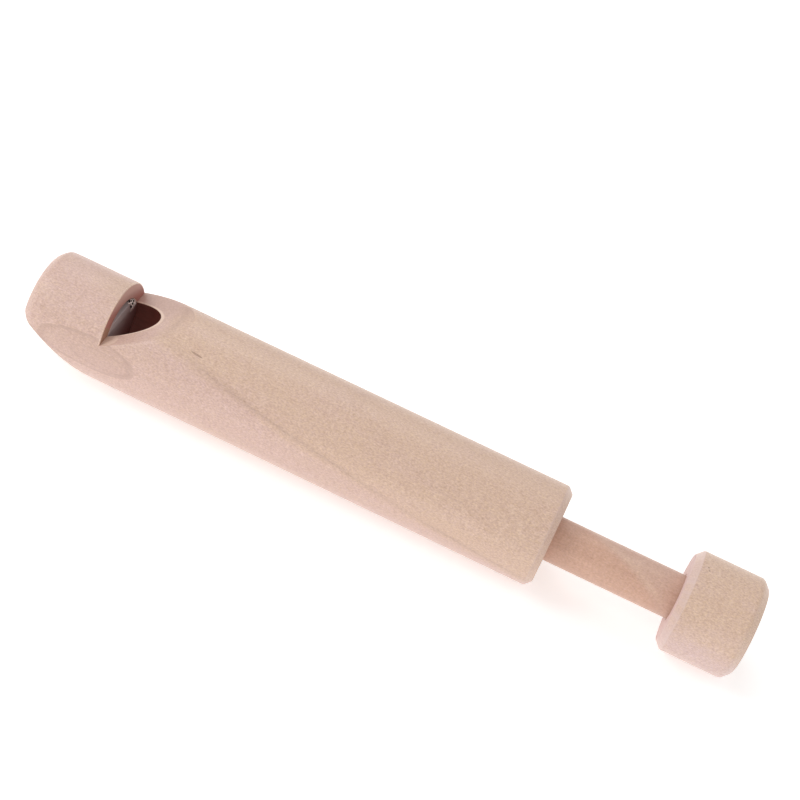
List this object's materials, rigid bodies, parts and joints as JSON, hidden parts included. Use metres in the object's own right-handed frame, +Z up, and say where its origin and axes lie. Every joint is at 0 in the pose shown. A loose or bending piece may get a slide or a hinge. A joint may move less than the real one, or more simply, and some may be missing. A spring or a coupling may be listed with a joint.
{
  "type": "slide whistle",
  "caption": "Turned wooden slide whistle: a bored barrel with a cut window and bevelled mouth end, and a rod with a round knob that slides a sealed piston in the bore.",
  "frame": {"origin": "on the surface that the barrel lies on, under the middle of the whole length with the plunger at rest", "axes": "+X along the bore from the mouth end to the knob, +Z up through the window"},
  "size_m": [0.1818, 0.025, 0.025],
  "materials": {
    "barrel_wood": "bare sanded pale hardwood",
    "block_wood": "bare pale hardwood",
    "rod_wood": "bare hardwood dowel",
    "knob_wood": "bare sanded pale hardwood",
    "seal_rubber": "matt dark soft rubber",
    "plated_steel": "dull plated steel"
  },
  "bodies": {
    "barrel_body": {"barrel": "barrel_wood", "windway_block": "block_wood", "guide_bush": "block_wood"},
    "seal_body": {"piston_seal": "seal_rubber"},
    "plunger": {"slide_rod": "rod_wood", "knob": "knob_wood", "piston_head": "block_wood", "piston_washer": "plated_steel", "piston_screw": "plated_steel"}
  },
  "joints": [
    {"name": "plunger_slide", "type": "slide", "parent": "barrel_body", "child": "seal_body", "axis": [1, 0, 0], "range_m": [-0.0305, 0.04537]},
    {"name": "plunger_turn", "type": "hinge", "parent": "seal_body", "child": "plunger", "pos_m": [-0.02658, 0, 0.0125], "axis": [1, 0, 0], "continuous": true}
  ]
}
